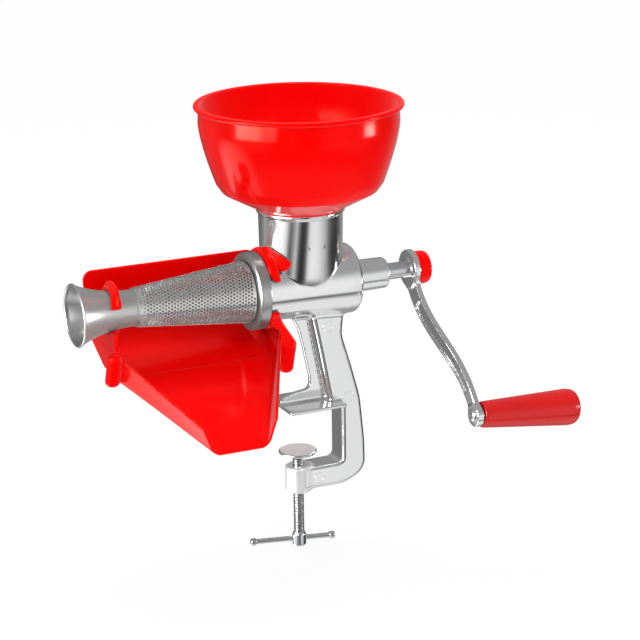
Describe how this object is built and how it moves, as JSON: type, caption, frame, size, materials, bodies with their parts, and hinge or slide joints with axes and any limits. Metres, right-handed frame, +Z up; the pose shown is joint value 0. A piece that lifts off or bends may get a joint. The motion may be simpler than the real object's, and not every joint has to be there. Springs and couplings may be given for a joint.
{
  "type": "hand-cranked tomato strainer",
  "caption": "Hand-cranked strainer that clamps to a table: a hopper feeds a screw conveyor inside a perforated cone, with a drip trough in front.",
  "frame": {"origin": "on the clamp screw's axis, at the flat underside of the upper jaw", "axes": "+X runs along the barrel towards the crank, +Z is up, and the drip trough's lip faces -Y"},
  "size_m": [0.3446, 0.1913, 0.3371],
  "materials": {
    "cast_aluminium": "polished",
    "bronze": "satin",
    "seal_rubber": "matte",
    "red_plastic": "gloss",
    "red_satin_plastic": "satin",
    "stainless": "satin",
    "white_plastic": "satin",
    "plated_steel": "polished"
  },
  "bodies": {
    "frame": {"body_casting": "cast_aluminium", "shaft_bush": "bronze", "shaft_seal": "seal_rubber"},
    "hopper": {"hopper": "red_plastic"},
    "strainer": {"strainer_collar": "stainless", "strainer_cone": "stainless", "waste_spout": "stainless"},
    "crank": {"auger": "white_plastic", "drive_shaft": "plated_steel", "drive_pin": "plated_steel", "thrust_washer": "white_plastic", "crank_arm": "cast_aluminium", "grip_pin": "plated_steel", "grip_pin_head": "plated_steel", "grip_clip": "plated_steel"},
    "knob_carrier": {"knob_washer": "plated_steel"},
    "knob": {"lock_knob": "red_plastic", "knob_stud": "plated_steel"},
    "grip": {"grip": "red_satin_plastic"},
    "jaw_disc": {"pressure_disc": "plated_steel"},
    "screw": {"clamp_screw": "plated_steel"},
    "bar": {"tommy_bar": "plated_steel", "bar_end_caps": "plated_steel"},
    "trough": {"drip_trough": "red_plastic"}
  },
  "joints": [
    {"name": "hopper_lift", "type": "slide", "parent": "frame", "child": "hopper", "axis": [0, 0, 1], "range_m": [0, 0.03]},
    {"name": "strainer_twist", "type": "hinge", "parent": "frame", "child": "strainer", "pos_m": [-0.038, 0, 0.092], "axis": [1, 0, 0], "range_deg": [0, 34]},
    {"name": "crank_spin", "type": "hinge", "parent": "frame", "child": "crank", "pos_m": [0.06, 0, 0.092], "axis": [1, 0, 0], "continuous": true},
    {"name": "knob_travel", "type": "slide", "parent": "crank", "child": "knob_carrier", "axis": [1, 0, 0], "range_m": [0, 0.008]},
    {"name": "knob_turn", "type": "hinge", "parent": "knob_carrier", "child": "knob", "pos_m": [0.1, 0, 0.092], "axis": [1, 0, 0], "range_deg": [-5, 2885]},
    {"name": "grip_spin", "type": "hinge", "parent": "crank", "child": "grip", "pos_m": [0.0969, -0.103, 0.009], "axis": [0.9971, 0, -0.0767], "continuous": true},
    {"name": "jaw_travel", "type": "slide", "parent": "frame", "child": "jaw_disc", "axis": [0, 0, 1], "range_m": [-0.0065, 0.0325]},
    {"name": "screw_turn", "type": "hinge", "parent": "jaw_disc", "child": "screw", "pos_m": [0, 0, -0.07], "axis": [0, 0, 1], "range_deg": [-1875, 9365]},
    {"name": "bar_slide", "type": "slide", "parent": "screw", "child": "bar", "axis": [0.9744, -0.225, 0], "range_m": [-0.0172, 0.0272]},
    {"name": "trough_swing", "type": "hinge", "parent": "frame", "child": "trough", "pos_m": [-0.0806, 0, 0.092], "axis": [1, 0, 0], "range_deg": [-5, 2]}
  ],
  "couplings": [
    {"joint": "screw_turn", "follows": "jaw_travel", "rad_per_m": 5026.5},
    {"joint": "knob_turn", "follows": "knob_travel", "rad_per_m": 6283.2}
  ]
}
